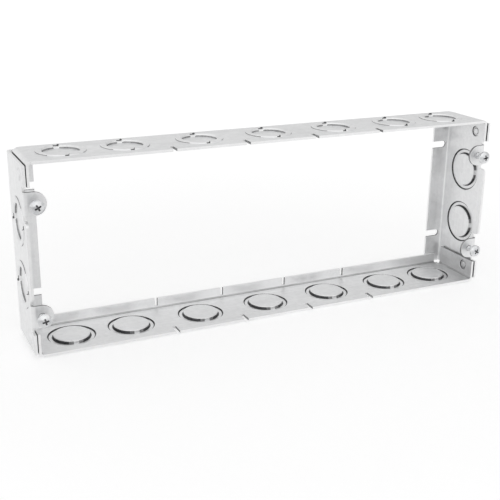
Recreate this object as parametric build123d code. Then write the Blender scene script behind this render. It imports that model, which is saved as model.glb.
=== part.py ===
from build123d import *
import os

# Five-gang extension ring of folded sheet steel, standing on a long side. Millimetres, +X along the ring,
# +Y towards its back, +Z up. The origin is under the middle of the whole part.

# Ring
GANGS = 5
GANG_PITCH = 46.04
END_ALLOWANCE = 40.475
RING_HEIGHT = 114.3
RING_DEPTH = 41.275
SHEET = 1.6
BEND = 1.0

# Long sides
SIDE_FLANGE = 8.2
SIDE_FLANGE_RELIEF = 1.8
BARRIER_SLOT_WIDTH = 1.8
BARRIER_SLOT_DEPTH = 5.2
BARRIER_NOTCH_WIDTH = 2.4
BARRIER_NOTCH_DEPTH = 7.5
TAB_LENGTH = 14.3
TAB_FRONT_INSET = 0.6
TAB_BACK_INSET = 4.5
TAB_GAP = 0.6

# End walls
WALL_INSET = 2.0
END_FLANGE = 14.3
SCREW_SLOT_WIDTH = 4.6
EAR_SETBACK = 2.5
EAR_HEIGHT = 13.5
EAR_GAP = 3.0
WALL_CORNER = 3.0

# Clinches: a cup pressed from the tab against the end wall, which bulges outside
CLINCH_SIDES = 16
CLINCH_INSET = 10.2
CLINCH_TAB_EDGE = 5.4
CLINCH_CUP_DIAMETER = 6.4
CLINCH_CUP_WALL = 0.6
CLINCH_CUP_FLOOR = 0.8
CLINCH_BUTTON_DIAMETER = 7.6
CLINCH_BUTTON_HEIGHT = 0.9

# Knockouts: a ring pressed outwards round a disc pressed inwards
KNOCKOUT_SIDES = 20
KNOCKOUT_DISC_DIAMETER = 22.2
KNOCKOUT_RING_WIDTH = 3.2
KNOCKOUT_RING_STEP = 0.85
KNOCKOUT_WEB = 0.25
END_KNOCKOUT_INSET = 26.2
WALL_KNOCKOUT_GAP = 9.5

# Cover screws, left a few turns out
SCREW_INSET = 5.975
SCREW_DIAMETER = 4.1
SCREW_LENGTH = 12.7
SCREW_STANDOFF = 5.9
SCREW_HOLE_CLEARANCE = 0.1
HEAD_DIAMETER = 8.2
HEAD_RIM = 1.1
HEAD_CROWN = 1.5
RECESS_LENGTH = 4.6
RECESS_WIDTH = 1.0
RECESS_DEPTH = 1.3

# What follows from those sizes
RING_LENGTH = GANGS * GANG_PITCH + 2 * END_ALLOWANCE
OUTER_BEND = BEND + SHEET
HEAD_HEIGHT = HEAD_RIM + HEAD_CROWN
HEAD_PROUD = max(0, SCREW_STANDOFF + HEAD_HEIGHT - EAR_SETBACK)
FRONT_Y = (HEAD_PROUD - RING_DEPTH - SHEET) / 2
BACK_Y = FRONT_Y + RING_DEPTH
MIDDLE_Y = FRONT_Y + RING_DEPTH / 2
EAR_Y = FRONT_Y + EAR_SETBACK
CLINCH_Y = FRONT_Y + CLINCH_INSET
BOTTOM_Z = KNOCKOUT_RING_STEP
MIDDLE_Z = BOTTOM_Z + RING_HEIGHT / 2
WALL_X = RING_LENGTH / 2
TAB_X = WALL_X - SHEET - TAB_GAP
FLAT_X = TAB_X - OUTER_BEND
SCREW_X = WALL_X - SCREW_INSET
SCREW_EDGE = TAB_LENGTH + EAR_GAP + EAR_HEIGHT / 2
SCREW_HEIGHTS = [BOTTOM_Z + SCREW_EDGE, BOTTOM_Z + RING_HEIGHT - SCREW_EDGE]
CLINCH_EDGE = TAB_LENGTH - CLINCH_TAB_EDGE
CLINCH_HEIGHTS = [BOTTOM_Z + CLINCH_EDGE, BOTTOM_Z + RING_HEIGHT - CLINCH_EDGE]
CLINCH_LENGTH = SHEET + TAB_GAP
KNOCKOUT_RING_DIAMETER = KNOCKOUT_DISC_DIAMETER + 2 * KNOCKOUT_RING_WIDTH
KNOCKOUT_DISC_TRAVEL = SHEET - KNOCKOUT_WEB
GANG_CENTRES = [(gang - (GANGS - 1) / 2) * GANG_PITCH for gang in range(GANGS)]
BARRIER_CENTRES = [centre + GANG_PITCH / 2 for centre in GANG_CENTRES[:-1]]
END_KNOCKOUTS = [END_KNOCKOUT_INSET - WALL_X, WALL_X - END_KNOCKOUT_INSET]
WALL_KNOCKOUT_OFFSET = (KNOCKOUT_RING_DIAMETER + WALL_KNOCKOUT_GAP) / 2
WALL_KNOCKOUTS = [MIDDLE_Z - WALL_KNOCKOUT_OFFSET, MIDDLE_Z + WALL_KNOCKOUT_OFFSET]


def folded_section(base, leg):
    """L section of the folded sheet: the base lies along x and the leg rises at its far end."""
    outline = Polyline(
        (0, 0), (base, 0), (base, leg), (base - SHEET, leg), (base - SHEET, SHEET), (0, SHEET), close=True
    )
    section = Sketch() + make_face(outline)
    section = fillet(section.vertices().sort_by_distance((base, 0))[0], OUTER_BEND)
    return fillet(section.vertices().sort_by_distance((base - SHEET, SHEET))[0], BEND)


def block(low, high):
    """Box between two corners."""
    size = [top - bottom for bottom, top in zip(low, high)]
    return Pos(*low) * Box(*size, align=(Align.MIN, Align.MIN, Align.MIN))


def disc(plane, diameter, start, thickness):
    """Round plate, from start along the plane's normal."""
    plate = Cylinder(diameter / 2, thickness, align=(Align.CENTER, Align.CENTER, Align.MIN))
    return plane.offset(start) * plate


def pressing(plane, diameter, sides, start, thickness):
    """Round plate like disc, drawn with flat sides so that the many pressings stay light."""
    return extrude(plane.offset(start) * RegularPolygon(diameter / 2, sides), amount=thickness)


def pressed(sheet, plane, diameter, start, travel):
    """Shears a round piece of the sheet along the plane's normal. Its first face is at start."""
    sheet -= pressing(plane, diameter, KNOCKOUT_SIDES, start, SHEET)
    return sheet + pressing(plane, diameter, KNOCKOUT_SIDES, start + travel, SHEET)


def knockout(sheet, plane):
    """Presses the ring out and the disc in. The plane lies on the outer face and looks inwards."""
    sheet = pressed(sheet, plane, KNOCKOUT_RING_DIAMETER, 0, -KNOCKOUT_RING_STEP)
    return pressed(sheet, plane, KNOCKOUT_DISC_DIAMETER, -KNOCKOUT_RING_STEP, KNOCKOUT_DISC_TRAVEL)


def end_tab():
    """Right-hand tab of the bottom side, with its clinch cup."""
    root_x = FLAT_X - BEND
    front = Plane((root_x, FRONT_Y + TAB_FRONT_INSET, BOTTOM_Z), x_dir=(1, 0, 0), z_dir=(0, -1, 0))
    section = front * folded_section(TAB_X - root_x, TAB_LENGTH)
    tab = extrude(section, amount=RING_DEPTH - TAB_FRONT_INSET - TAB_BACK_INSET, dir=(0, 1, 0))
    outwards = Plane((TAB_X - SHEET, CLINCH_Y, CLINCH_HEIGHTS[0]), x_dir=(0, 1, 0), z_dir=(1, 0, 0))
    tab += pressing(outwards, CLINCH_CUP_DIAMETER, CLINCH_SIDES, 0, CLINCH_LENGTH)
    hollow = CLINCH_CUP_DIAMETER - 2 * CLINCH_CUP_WALL
    return tab - pressing(outwards, hollow, CLINCH_SIDES, 0, CLINCH_LENGTH - CLINCH_CUP_FLOOR)


def flange_relief():
    """Opening at the right-hand end of the bottom side's flange."""
    return block(
        (FLAT_X - SIDE_FLANGE_RELIEF, BACK_Y - OUTER_BEND, BOTTOM_Z),
        (FLAT_X, BACK_Y, BOTTOM_Z + SIDE_FLANGE),
    )


def barrier_cuts(x):
    """Slot in the flange and notch in the front edge that hold a barrier between two gangs."""
    slot = block(
        (x - BARRIER_SLOT_WIDTH / 2, BACK_Y - SHEET, BOTTOM_Z + SIDE_FLANGE - BARRIER_SLOT_DEPTH),
        (x + BARRIER_SLOT_WIDTH / 2, BACK_Y, BOTTOM_Z + SIDE_FLANGE),
    )
    notch = block(
        (x - BARRIER_NOTCH_WIDTH / 2, FRONT_Y, BOTTOM_Z),
        (x + BARRIER_NOTCH_WIDTH / 2, FRONT_Y + BARRIER_NOTCH_DEPTH, BOTTOM_Z + SHEET),
    )
    return slot + notch


def long_side():
    """Bottom side: panel, back flange and end tabs in one folded sheet."""
    middle = Plane((0, FRONT_Y, BOTTOM_Z), x_dir=(0, 1, 0), z_dir=(1, 0, 0))
    side = extrude(middle * folded_section(RING_DEPTH, SIDE_FLANGE), amount=FLAT_X, both=True)
    side -= flange_relief() + mirror(flange_relief(), Plane.YZ)
    side += end_tab() + mirror(end_tab(), Plane.YZ)
    for x in BARRIER_CENTRES:
        side -= barrier_cuts(x)
    for x in GANG_CENTRES + END_KNOCKOUTS:
        side = knockout(side, Plane((x, MIDDLE_Y, BOTTOM_Z), z_dir=(0, 0, 1)))
    return side


def ear(height):
    """Right-hand ear folded in from the wall, with a round end and its screw hole."""
    root = OUTER_BEND + BEND
    tip = EAR_HEIGHT / 2
    middle = Plane((WALL_X, EAR_Y + root, height), x_dir=(0, -1, 0), z_dir=(0, 0, -1))
    plate = extrude(middle * folded_section(root, SCREW_INSET + tip), amount=tip, both=True)
    front = Plane((SCREW_X, EAR_Y, height), x_dir=(1, 0, 0), z_dir=(0, 1, 0))
    square_end = block((SCREW_X - tip, EAR_Y, height - tip), (SCREW_X, EAR_Y + SHEET, height + tip))
    plate -= square_end - disc(front, EAR_HEIGHT, 0, SHEET)
    return plate - disc(front, SCREW_DIAMETER + 2 * SCREW_HOLE_CLEARANCE, 0, SHEET)


def with_ear(wall, height, towards_middle):
    """Notches the wall's front edge, rounds the corner towards the middle and adds the ear."""
    reach = EAR_HEIGHT / 2 + EAR_GAP
    wall -= block(
        (WALL_X - SHEET, FRONT_Y, height - reach),
        (WALL_X, EAR_Y + OUTER_BEND, height + reach),
    )
    corner = (WALL_X - SHEET / 2, FRONT_Y, height + towards_middle * reach)
    wall = fillet(wall.edges().filter_by(Axis.X).sort_by_distance(corner)[0], WALL_CORNER)
    return wall + ear(height)


def screw_slot(height):
    """Slot for a screw of the box behind, open at the flange's inner edge."""
    round_end = Plane((SCREW_X, BACK_Y, height), x_dir=(1, 0, 0), z_dir=(0, 1, 0))
    run = block(
        (WALL_X - END_FLANGE, BACK_Y, height - SCREW_SLOT_WIDTH / 2),
        (SCREW_X, BACK_Y + SHEET, height + SCREW_SLOT_WIDTH / 2),
    )
    return run + disc(round_end, SCREW_SLOT_WIDTH, 0, SHEET)


def end_wall():
    """Right end wall: wall, back flange and two ears in one folded sheet."""
    low_end = Plane((WALL_X, FRONT_Y, BOTTOM_Z + WALL_INSET), x_dir=(0, 1, 0), z_dir=(0, 0, 1))
    section = low_end * folded_section(RING_DEPTH + SHEET, END_FLANGE)
    wall = extrude(section, amount=RING_HEIGHT - 2 * WALL_INSET)
    for height, towards_middle in zip(SCREW_HEIGHTS, (1, -1)):
        wall = with_ear(wall, height, towards_middle)
        wall -= screw_slot(height)
    for height in CLINCH_HEIGHTS:
        outwards = Plane((WALL_X, CLINCH_Y, height), x_dir=(0, 1, 0), z_dir=(1, 0, 0))
        wall += pressing(outwards, CLINCH_BUTTON_DIAMETER, CLINCH_SIDES, 0, CLINCH_BUTTON_HEIGHT)
    for height in WALL_KNOCKOUTS:
        wall = knockout(wall, Plane((WALL_X, MIDDLE_Y, height), x_dir=(0, 1, 0), z_dir=(-1, 0, 0)))
    return wall


def screw():
    """Pan-head screw with a cross recess. The head stands on the XY plane and the shank hangs below."""
    head = HEAD_DIAMETER / 2
    shank = SCREW_DIAMETER / 2
    crown = TangentArc((0, HEAD_HEIGHT), (head, HEAD_RIM), tangent=(1, 0))
    sides = Polyline(
        (head, HEAD_RIM), (head, 0), (shank, 0), (shank, -SCREW_LENGTH), (0, -SCREW_LENGTH), (0, HEAD_HEIGHT)
    )
    body = revolve(Plane.XZ * make_face([crown, sides]), Axis.Z)
    floor = Pos(0, 0, HEAD_HEIGHT - RECESS_DEPTH)
    for length, width in ((RECESS_LENGTH, RECESS_WIDTH), (RECESS_WIDTH, RECESS_LENGTH)):
        body -= floor * Box(length, width, RECESS_DEPTH, align=(Align.CENTER, Align.CENTER, Align.MIN))
    return body


def cover_screw(x, height):
    """One screw in its ear, with its head in front."""
    place = Plane((x, EAR_Y - SCREW_STANDOFF, height), x_dir=(1, 0, 0), z_dir=(0, -1, 0))
    return place * screw()


# Each sheet is used twice, the second time turned half round
half_round = Axis((0, 0, MIDDLE_Z), (0, 1, 0))
bottom_side = long_side()
right_end = end_wall()
pieces = {
    "bottom_side": bottom_side,
    "top_side": bottom_side.rotate(half_round, 180),
    "right_end": right_end,
    "left_end": right_end.rotate(half_round, 180),
    "cover_screws": Compound(
        children=[cover_screw(x, height) for x in (-SCREW_X, SCREW_X) for height in SCREW_HEIGHTS]
    ),
}

os.makedirs("parts", exist_ok=True)
for name, piece in pieces.items():
    export_step(piece, f"parts/{name}.step")
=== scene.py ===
import math

import bmesh
import bpy
from mathutils import Matrix, Vector
from mathutils.geometry import delaunay_2d_cdt


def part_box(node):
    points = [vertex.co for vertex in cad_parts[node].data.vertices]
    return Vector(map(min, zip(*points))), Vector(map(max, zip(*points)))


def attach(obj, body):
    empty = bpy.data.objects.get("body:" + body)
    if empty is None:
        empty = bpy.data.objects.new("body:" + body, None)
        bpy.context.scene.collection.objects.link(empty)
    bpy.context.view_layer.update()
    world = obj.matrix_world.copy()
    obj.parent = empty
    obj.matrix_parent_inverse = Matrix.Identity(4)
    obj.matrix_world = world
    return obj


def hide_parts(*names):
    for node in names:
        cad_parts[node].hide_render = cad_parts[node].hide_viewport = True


# Five-gang extension ring of folded galvanized sheet. Metres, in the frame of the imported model.
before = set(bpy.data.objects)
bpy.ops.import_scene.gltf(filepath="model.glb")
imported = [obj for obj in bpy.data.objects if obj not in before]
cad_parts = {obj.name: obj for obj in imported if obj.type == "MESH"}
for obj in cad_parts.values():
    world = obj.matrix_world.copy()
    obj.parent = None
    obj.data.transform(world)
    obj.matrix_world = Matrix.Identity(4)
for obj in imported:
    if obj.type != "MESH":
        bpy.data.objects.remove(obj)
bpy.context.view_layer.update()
scene = bpy.context.scene
MM = 0.001

# Sheet
SHEET = 1.6 * MM
OUTER_BEND = 2.6 * MM
BEND_LENGTH = OUTER_BEND * math.pi / 2
BEND_STEPS = 8
BEND_RUNS = [BEND_LENGTH * k / BEND_STEPS for k in range(BEND_STEPS + 1)]
BEND_ENDS = 0.05
EDGE_ROUND = 0.16 * MM
EDGE_STEPS = 2
SHEET_WELD = 0.003 * MM
ON_LINE = 0.001 * MM
NEAR = 0.05 * MM
FILL_MARGIN = 1e-8
ROUND_MARGIN = 1.0005
FLAT_ANGLE = math.radians(0.5)
SHARP_ANGLE = math.radians(35)
# Painted light on the bends: a painted highlight outside each bend and painted shade in its crease.
BEND_PAINTED_HIGHLIGHT = -0.5
CREASE_SHADE = 1.0

# Knockouts. Shares of the ring run from the disc outwards, and arcs are sines of the angle from a tie.
KNOCKOUT_DISC = 11.1 * MM
KNOCKOUT_RING = 14.3 * MM
KNOCKOUT_COLLAR = 15.4 * MM
KNOCKOUT_SIDES = 128
RING_STEP = 0.85 * MM
DISC_TRAVEL = 1.9 * MM
DISC_WALL = 0.6 * MM
ROLLED_EDGE = 1.2 * MM
SHEARED_EDGE = 0.36 * MM
STEP_LEAN = 0.02 * MM
# Where the knockouts take darker finishes, partly sheared steel and partly painted shade: the band beside
# each step is painted shade, the ties are darkened, and the bright arc at the front and back is left out of
# the outer wall's painted shade.
KNOCKOUT_SHADE_BAND = 0.6 * MM
TIE_WIDTH = 3.6 * MM
TIE_NARROWING = 0.62
TIE_SPREAD = 3.5
TIE_BREAK = 0.4
TIE_CORE = 0.35
TIE_FLOOR_MIDDLE = 0.66
TIE_FLOOR_HALF = 0.33
RING_MIDDLE = 0.5
RING_HALF = 0.48
BRIGHT_ARC = 0.72
FIRST_STEEPNESS = 0.5
SECOND_STEEPNESS = 0.21
SECOND_REACH = 0.6
SPOKE_POINTS = (5, 11, 6, 11, 2)
SPOKE_WELD = 0.001 * MM
SKIN_WELD = 0.002 * MM
NUMBER_MARGIN = 0.1
GANG_PITCH = 46.04 * MM
GANGS = 5

# Clinches
SMALL_SIDES = 64
CUP_COLLAR = 4.6 * MM
CUP_OUTSIDE = 3.2 * MM
CUP_OUTSIDE_ROLL = 0.5 * MM
CUP_INSIDE = 3.3 * MM
CUP_INSIDE_ROLL = -0.45 * MM
CUP_DEPTH = 0.8 * MM
CUP_BOSS = (2.1 * MM, -0.55 * MM, 1.0 * MM)
# Width of the painted shade beside the clinch cup's step.
CUP_SHADE_BAND = 0.3 * MM
BUTTON_RADIUS = 3.8 * MM
BUTTON_HEIGHT = 0.9 * MM
BUTTON_ROLL = 1.5 * MM
BUTTON_BACK = (BUTTON_RADIUS, 0.0, 0.5 * MM)
NO_BOSS = (1.0 * MM, 0.0, 0.2 * MM)

# Screws
HEAD_RADIUS = 4.1 * MM
HEAD_RIM = 1.1 * MM
HEAD_CROWN = 1.5 * MM
HEAD_SIDES = 72
RIM_ROWS = 2
CROWN_ROWS = 10
CROWN_POWER = 1.25
SHANK_RADIUS = 2.05 * MM
CORE_SIDES = 32
THREAD_PITCH = 0.8 * MM
THREAD_DEPTH = 0.38 * MM
THREAD_STEPS = 28
RIDGE_SIDES = 6
RECESS_LENGTH = 5.5 * MM
RECESS_WIDTH = 1.35 * MM
RECESS_DEPTH = 1.3 * MM
RECESS_TAPER = 0.5
SCREW_TURNS = (12, 28, 58, 8)
SCREW_SHARP_ANGLE = math.radians(40)

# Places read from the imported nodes
side_low, side_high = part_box("bottom_side")
wall_low, wall_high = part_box("right_end")
screws_low, screws_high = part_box("cover_screws")
FRONT_Y = side_low.y
BACK_Y = side_high.y
MIDDLE_Y = (FRONT_Y + BACK_Y) / 2
BOTTOM_Z = side_low.z + RING_STEP
MIDDLE_Z = (wall_low.z + wall_high.z) / 2
WALL_X = wall_high.x - BUTTON_HEIGHT
SCREW_X = screws_high.x - HEAD_RADIUS
SCREW_HEIGHTS = [screws_low.z + HEAD_RADIUS, screws_high.z - HEAD_RADIUS]
SCREW_INSET = WALL_X - SCREW_X
HEAD_SEAT_Y = screws_low.y + HEAD_RIM + HEAD_CROWN
SHANK_LENGTH = screws_high.y - HEAD_SEAT_Y

# Long sides
SIDE_FLANGE = 8.2 * MM
FLANGE_RELIEF = 1.8 * MM
FLANGE_LINE = BACK_Y - OUTER_BEND
# Painted light on the inner face of the back flange.
FLANGE_PAINTED_LIGHT = -0.8
TAB_GAP = 0.6 * MM
TAB_LENGTH = 14.3 * MM
TAB_FRONT_INSET = 0.6 * MM
TAB_BACK_INSET = 4.5 * MM
TAB_FRONT = FRONT_Y + TAB_FRONT_INSET
TAB_BACK = BACK_Y - TAB_BACK_INSET
TAB_SHADE = 3.0
FLAT_X = side_high.x - TAB_GAP - OUTER_BEND
BARRIER_SLOT = (1.8 * MM, 5.2 * MM)
BARRIER_NOTCH = (2.4 * MM, 7.5 * MM)
GANG_CENTRES = [(gang - (GANGS - 1) / 2) * GANG_PITCH for gang in range(GANGS)]
BARRIERS = [centre + GANG_PITCH / 2 for centre in GANG_CENTRES[:-1]]
END_KNOCKOUT_INSET = 26.2 * MM
END_KNOCKOUT = WALL_X - END_KNOCKOUT_INSET
CLINCH_INSET = 10.2 * MM
CLINCH_Y = FRONT_Y + CLINCH_INSET
CLINCH_TAB_EDGE = 5.4 * MM
CLINCH_RISE = TAB_LENGTH - CLINCH_TAB_EDGE

# End walls
BACK_LINE = wall_high.y - OUTER_BEND
END_FLANGE = 14.3 * MM
# Painted highlight along the end wall's back bend, on its outer and inner face.
END_BEND_PAINTED_HIGHLIGHT = (-0.4, -0.8)
EAR_SETBACK = 2.5 * MM
EAR_LINE = FRONT_Y + EAR_SETBACK + OUTER_BEND
EAR_TIP = 6.75 * MM
EAR_STEPS = 28
EAR_GAP = 3.0 * MM
WALL_CORNER = 3.0 * MM
CORNER_STEPS = 8
SCREW_SLOT = 2.3 * MM
SLOT_STEPS = 20
SCREW_HOLE = 2.15 * MM
HALF_KNOCKOUT_GAP = 4.75 * MM
WALL_KNOCKOUT_OFFSET = KNOCKOUT_RING + HALF_KNOCKOUT_GAP


# Shared helpers for objects and node trees

def in_scene(name, data):
    """New object, linked to the scene."""
    made = bpy.data.objects.new(name, data)
    scene.collection.objects.link(made)
    return made


def plain_mesh(carrier):
    """The mesh that an object's modifiers make. The object itself goes."""
    ready = carrier.evaluated_get(bpy.context.evaluated_depsgraph_get())
    mesh = bpy.data.meshes.new_from_object(ready)
    bpy.data.objects.remove(carrier)
    return mesh


def add_node(tree, kind, inputs=None, **settings):
    """Adds a node and gives its inputs, each a value or a socket to link from."""
    made = tree.nodes.new(kind)
    for name, value in settings.items():
        setattr(made, name, value)
    for key, value in (inputs or {}).items():
        if isinstance(value, bpy.types.NodeSocket):
            tree.links.new(value, made.inputs[key])
        else:
            made.inputs[key].default_value = value
    return made


def calc(tree, operation, *values, clamp=False):
    """Math node on numbers or sockets."""
    made = add_node(tree, "ShaderNodeMath", dict(enumerate(values)), operation=operation, use_clamp=clamp)
    return made.outputs[0]


def weighed(tree, start, *pairs):
    """A start value with each other value added to it by its weight."""
    total = start
    for value, weight in pairs:
        total = calc(tree, "MULTIPLY_ADD", value, weight, total)
    return total


def mixed(tree, share, first, second):
    """The first value where the share is nought, the second where it is one."""
    return add_node(tree, "ShaderNodeMix", {0: share, 2: first, 3: second}).outputs[0]


def ranged(tree, value, low, high, at_low, at_high, smooth=False):
    """A value carried from one range to another and held at its ends."""
    inputs = {"Value": value, "From Min": low, "From Max": high, "To Min": at_low, "To Max": at_high}
    course = "SMOOTHSTEP" if smooth else "LINEAR"
    return add_node(tree, "ShaderNodeMapRange", inputs, interpolation_type=course).outputs[0]


def point(tree, x=0.0, y=0.0, z=0.0):
    """Vector from its parts."""
    return add_node(tree, "ShaderNodeCombineXYZ", {0: x, 1: y, 2: z}).outputs[0]


def parts(tree, vector):
    """Parts of a vector."""
    return add_node(tree, "ShaderNodeSeparateXYZ", {0: vector}).outputs


def position(tree):
    """Place of each point in a geometry tree."""
    return add_node(tree, "GeometryNodeInputPosition").outputs[0]


def lifted(tree, geometry, height):
    """Geometry moved along Z."""
    inputs = {"Geometry": geometry, "Translation": point(tree, z=height)}
    return add_node(tree, "GeometryNodeTransform", inputs).outputs[0]


def welded(tree, geometry, distance):
    """Geometry with its close points merged."""
    inputs = {"Geometry": geometry, "Distance": distance}
    return add_node(tree, "GeometryNodeMergeByDistance", inputs).outputs[0]


def stored(tree, geometry, name, value, kind="FLOAT", domain="POINT"):
    """Geometry that carries a value by name."""
    inputs = {"Geometry": geometry, "Name": name, "Value": value}
    return add_node(tree, "GeometryNodeStoreNamedAttribute", inputs, data_type=kind, domain=domain).outputs[0]


def carried(tree, name, kind="FLOAT"):
    """Value that the geometry carries by name."""
    return add_node(tree, "GeometryNodeInputNamedAttribute", {"Name": name}, data_type=kind).outputs[0]


def real_copies(tree, centres, shape, turn):
    """Copies of a shape on its centres, as real geometry."""
    inputs = {"Points": centres, "Instance": shape, "Rotation": turn}
    placed = add_node(tree, "GeometryNodeInstanceOnPoints", inputs).outputs[0]
    return add_node(tree, "GeometryNodeRealizeInstances", {0: placed}).outputs[0]


def coated(tree, geometry, material, selection=True):
    """Geometry with a finish on the faces selected."""
    inputs = {0: geometry, "Selection": selection, "Material": material}
    return add_node(tree, "GeometryNodeSetMaterial", inputs).outputs[0]


def new_tree(name, sizes, with_points=True):
    """Geometry tree with named inputs. Returns the tree, its inputs by name and its output node."""
    tree = bpy.data.node_groups.new(name, "GeometryNodeTree")
    if with_points:
        tree.interface.new_socket("Centres", in_out="INPUT", socket_type="NodeSocketGeometry")
    for label, kind in sizes.items():
        tree.interface.new_socket(label, in_out="INPUT", socket_type="NodeSocket" + kind)
    tree.interface.new_socket("Geometry", in_out="OUTPUT", socket_type="NodeSocketGeometry")
    given = tree.nodes.new("NodeGroupInput").outputs
    return tree, given, tree.nodes.new("NodeGroupOutput")


def grown_mesh(tree, centres, values, turns=()):
    """Runs a geometry tree on its centres and returns the plain mesh."""
    points = bpy.data.meshes.new(tree.name)
    points.from_pydata([tuple(c) for c in centres], [], [])
    if turns:
        points.attributes.new("turn", "FLOAT", "POINT").data.foreach_set("value", turns)
    carrier = in_scene(tree.name, points)
    modifier = carrier.modifiers.new(tree.name, "NODES")
    modifier.node_group = tree
    sockets = {item.name: item.identifier for item in tree.interface.items_tree if item.in_out == "INPUT"}
    for label, value in values.items():
        modifier[sockets[label]] = value
    return plain_mesh(carrier)


# Finishes

SPANGLE_SCALE = 420.0
ROLLED_ALONG = 14.0
ROLLED_ACROSS = 420.0
SPANGLE_TONE = 0.18
HAZE_TONE = 0.5
MARKS_TONE = 0.45
# How far painted light lightens the tone and painted shade darkens the colour.
PAINTED_LIGHT_TONE = -0.7
PAINTED_SHADE_TONE = -0.75
SHEET_ROUGHNESS = 0.36
HAZE_ROUGHNESS = 0.14
SPANGLE_ROUGHNESS = 0.07
MARKS_RELIEF = 0.6
SPANGLE_RELIEF = 0.25
GRAIN_TONE = 0.55
PATCH_TONE = 0.45
GRAIN_ROUGHNESS = 0.2
ZINC_ROUGHNESS = 0.16
CLOUD_ROUGHNESS = 0.14
# Painted shade towards the ring's lower right corner, and how far it reaches.
CORNER_PAINTED_SHADE = 0.36
CORNER_SHADE_REACH = 30 * MM
STEEL_DARK = (0.0, (0.36, 0.363, 0.368))
STEEL_MIDDLE = (0.3, (0.780, 0.783, 0.788))
STEEL_LIGHT = (0.85, (0.945, 0.947, 0.950))


def metal(name):
    """New metal material. Returns the material, its tree, the shader and the place on the object."""
    material = bpy.data.materials.new(name)
    material.use_nodes = True
    tree = material.node_tree
    shader = tree.nodes["Principled BSDF"]
    shader.inputs["Metallic"].default_value = 1.0
    return material, tree, shader, add_node(tree, "ShaderNodeTexCoord").outputs["Object"]


def noise(tree, place, scale, detail, roughness=0.5):
    """Noise over a place, scale in features a metre."""
    inputs = {"Vector": place, "Scale": scale, "Detail": detail, "Roughness": roughness}
    return add_node(tree, "ShaderNodeTexNoise", inputs).outputs[0]


def toned(tree, tone, first, last, middle=None):
    """Colour for a tone, through stops that each give a position and a colour."""
    ramp = add_node(tree, "ShaderNodeValToRGB", {"Fac": tone})
    stops = ramp.color_ramp.elements
    for stop, (place, colour) in zip(stops, (first, last)):
        stop.position = place
        stop.color = (*colour, 1)
    if middle:
        stops.new(middle[0]).color = (*middle[1], 1)
    return ramp.outputs[0]


def finish_metal(tree, shader, colour, roughness, relief, strength, depth):
    """Links a metal's colour and roughness, and its fine relief."""
    bump = add_node(tree, "ShaderNodeBump", {"Strength": strength, "Distance": depth, "Height": relief})
    tree.links.new(colour, shader.inputs["Base Color"])
    tree.links.new(roughness, shader.inputs["Roughness"])
    tree.links.new(bump.outputs[0], shader.inputs["Normal"])


def galvanized(name, rolled, corner_shade):
    """Satin galvanized sheet: spangle, rolling marks and handling haze.

    rolled stretches the marks along the sheet, and the last argument is painted shade that darkens it towards
    the ring's lower right corner. The sheet's bend value is painted shade above nought and painted light
    below it.
    """
    material, tree, shader, place = metal(name)
    spangle = add_node(tree, "ShaderNodeTexVoronoi", {"Vector": place, "Scale": SPANGLE_SCALE})
    cell = add_node(tree, "ShaderNodeSeparateColor", {"Color": spangle.outputs["Color"]}).outputs[0]
    haze = noise(tree, place, scale=38.0, detail=5.0, roughness=0.6)
    stretched = add_node(tree, "ShaderNodeMapping", {"Vector": place, "Scale": rolled}).outputs[0]
    marks = noise(tree, stretched, scale=1.0, detail=4.0, roughness=0.7)
    # The bend value brings painted shade above nought and painted light below it.
    bend = add_node(tree, "ShaderNodeAttribute", attribute_name="bend").outputs["Fac"]
    painted_light_value = calc(tree, "MULTIPLY", bend, haze)
    tone = weighed(tree, 0.0, (cell, SPANGLE_TONE), (haze, HAZE_TONE), (marks, MARKS_TONE))
    tone = weighed(tree, tone, (calc(tree, "MINIMUM", painted_light_value, 0.0), PAINTED_LIGHT_TONE))
    creased = calc(tree, "MAXIMUM", painted_light_value, 0.0)
    shade = calc(tree, "MULTIPLY_ADD", creased, PAINTED_SHADE_TONE, 1.0, clamp=True)
    # Painted shade towards the ring's lower right corner, below its middle height.
    spot = parts(tree, place)
    right = ranged(tree, spot[0], FLAT_X - CORNER_SHADE_REACH, FLAT_X, 0.0, corner_shade, smooth=True)
    corner = calc(tree, "MULTIPLY", right, calc(tree, "LESS_THAN", spot[2], MIDDLE_Z))
    painted_corner_shade = calc(tree, "MULTIPLY", corner, haze)
    shade = calc(tree, "MULTIPLY", shade, calc(tree, "SUBTRACT", 1.0, painted_corner_shade))
    steel = toned(tree, tone, STEEL_DARK, STEEL_LIGHT, middle=STEEL_MIDDLE)
    colour = add_node(tree, "ShaderNodeVectorMath", {0: steel, "Scale": shade}, operation="SCALE").outputs[0]
    roughness = weighed(tree, SHEET_ROUGHNESS, (haze, HAZE_ROUGHNESS), (cell, SPANGLE_ROUGHNESS))
    relief = weighed(tree, 0.0, (marks, MARKS_RELIEF), (cell, SPANGLE_RELIEF))
    finish_metal(tree, shader, colour, roughness, relief, strength=0.16, depth=0.12 * MM)
    return material


def sheared(name, dark, light, rough):
    """Sheared or worn steel, also used darkened as painted shade: fine grain over broader patches, between a
    dark and a light tone.
    """
    material, tree, shader, place = metal(name)
    grain = noise(tree, place, scale=1500.0, detail=3.0, roughness=0.65)
    patches = noise(tree, place, scale=160.0, detail=3.0)
    tone = weighed(tree, 0.0, (grain, GRAIN_TONE), (patches, PATCH_TONE))
    colour = toned(tree, tone, (0.32, dark), (0.68, light))
    roughness = weighed(tree, rough, (grain, GRAIN_ROUGHNESS))
    finish_metal(tree, shader, colour, roughness, grain, strength=0.3, depth=0.1 * MM)
    return material


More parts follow.
